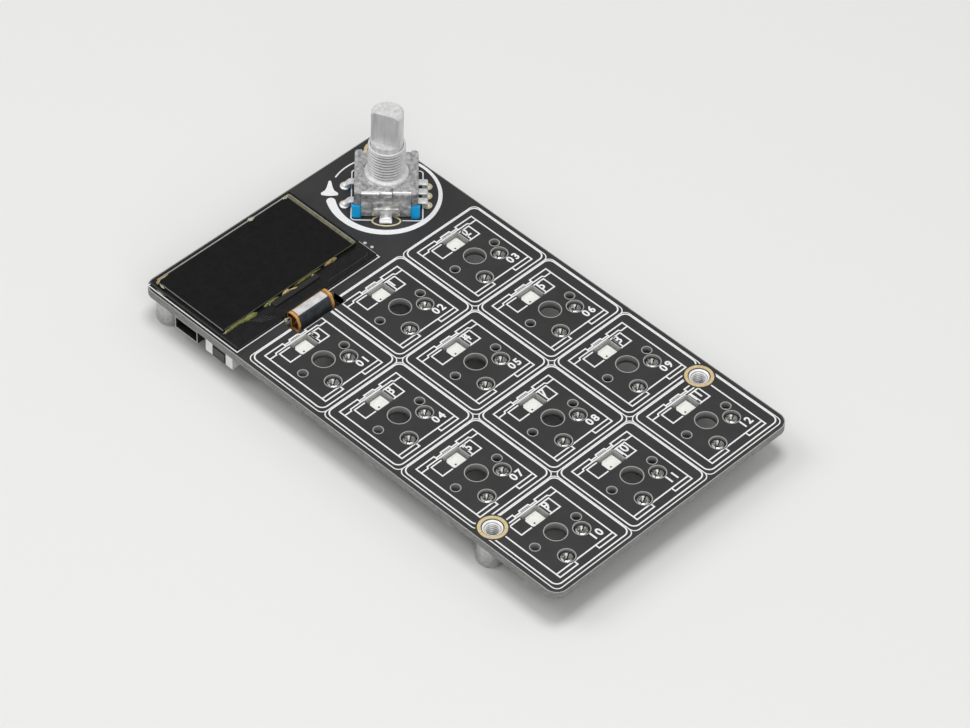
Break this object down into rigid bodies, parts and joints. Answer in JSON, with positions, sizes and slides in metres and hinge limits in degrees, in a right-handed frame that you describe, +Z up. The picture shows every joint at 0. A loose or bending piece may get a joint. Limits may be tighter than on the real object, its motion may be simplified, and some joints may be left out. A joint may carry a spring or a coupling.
{
  "type": "macro keypad board",
  "caption": "Bare macro keypad board with hot-swap key switch seats, a small glass display and a push-and-turn rotary encoder, standing on threaded standoffs.",
  "frame": {"origin": "on the ground under the middle of the board", "axes": "+X to the user's right, +Y from the front row of keys towards the display, +Z up"},
  "size_m": [0.0594, 0.1036, 0.0286],
  "materials": {
    "solder_mask": "satin black solder mask",
    "nickel_steel": "nickel plated",
    "tin_contact": "tin plated",
    "foam_tape": "matt",
    "display_glass": "clear glass over a dark panel",
    "polarizer_film": "smooth film",
    "silicon": "bare chip",
    "flex_film": "amber film",
    "blue_plastic": "moulded",
    "frame_steel": "tin plated sheet",
    "diecast_metal": "die-cast zinc",
    "rotor_plastic": "moulded",
    "shaft_metal": "turned",
    "black_plastic": "moulded",
    "button_plastic": "moulded",
    "chip_resin": "moulded",
    "crystal_metal": "lidded can",
    "ceramic": "fired",
    "socket_plastic": "moulded",
    "light_plastic": "moulded"
  },
  "bodies": {
    "board": {"circuit_board": "solder_mask", "standoffs": "nickel_steel", "key_socket_01": "socket_plastic", "key_socket_02": "socket_plastic", "key_socket_03": "socket_plastic", "key_socket_04": "socket_plastic", "key_socket_05": "socket_plastic", "key_socket_06": "socket_plastic", "key_socket_07": "socket_plastic", "key_socket_08": "socket_plastic", "key_socket_09": "socket_plastic", "key_socket_10": "socket_plastic", "key_socket_11": "socket_plastic", "key_socket_12": "socket_plastic", "socket_contacts": "tin_contact", "key_light_01": "light_plastic", "key_light_02": "light_plastic", "key_light_03": "light_plastic", "key_light_04": "light_plastic", "key_light_05": "light_plastic", "key_light_06": "light_plastic", "key_light_07": "light_plastic", "key_light_08": "light_plastic", "key_light_09": "light_plastic", "key_light_10": "light_plastic", "key_light_11": "light_plastic", "key_light_12": "light_plastic", "light_leads": "tin_contact", "display_tape": "foam_tape", "display_lower_glass": "display_glass", "display_upper_glass": "display_glass", "display_polarizer": "polarizer_film", "display_driver_chip": "silicon", "display_flex": "flex_film", "encoder_base": "blue_plastic", "encoder_frame": "frame_steel", "encoder_bushing": "diecast_metal", "encoder_terminals": "tin_contact", "push_dome": "frame_steel", "reset_body": "black_plastic", "reset_cover": "frame_steel", "cable_socket_housing": "black_plastic", "cable_socket_pins": "tin_contact", "usb_shell": "frame_steel", "usb_tongue": "black_plastic", "speaker": "black_plastic", "processor_chip": "chip_resin", "memory_chip": "chip_resin", "crystal": "crystal_metal", "regulator_chip": "chip_resin", "amplifier_chip": "chip_resin", "passives": "ceramic"},
    "rotor": {"encoder_rotor": "rotor_plastic"},
    "shaft": {"encoder_shaft": "shaft_metal", "encoder_clip": "frame_steel"},
    "plunger": {"push_plunger": "rotor_plastic"},
    "reset_button": {"reset_button": "button_plastic"}
  },
  "joints": [
    {"name": "encoder_turn", "type": "hinge", "parent": "board", "child": "rotor", "pos_m": [0.0186, 0.03835, 0.0106], "axis": [0, 0, 1], "continuous": true},
    {"name": "encoder_push", "type": "slide", "parent": "rotor", "child": "shaft", "axis": [0, 0, -1], "range_m": [0, 0.0005], "stiffness_N_per_m": 2000, "springref_m": -0.0012},
    {"name": "plunger_press", "type": "slide", "parent": "board", "child": "plunger", "axis": [0, 0, -1], "range_m": [0, 0.0005], "deforming": ["push_dome"]},
    {"name": "reset_press", "type": "slide", "parent": "board", "child": "reset_button", "axis": [1, 0, 0], "range_m": [0, 0.00025], "stiffness_N_per_m": 4000, "springref_m": -0.0003}
  ],
  "couplings": [
    {"joint": "plunger_press", "follows": "encoder_push", "ratio": 1}
  ]
}
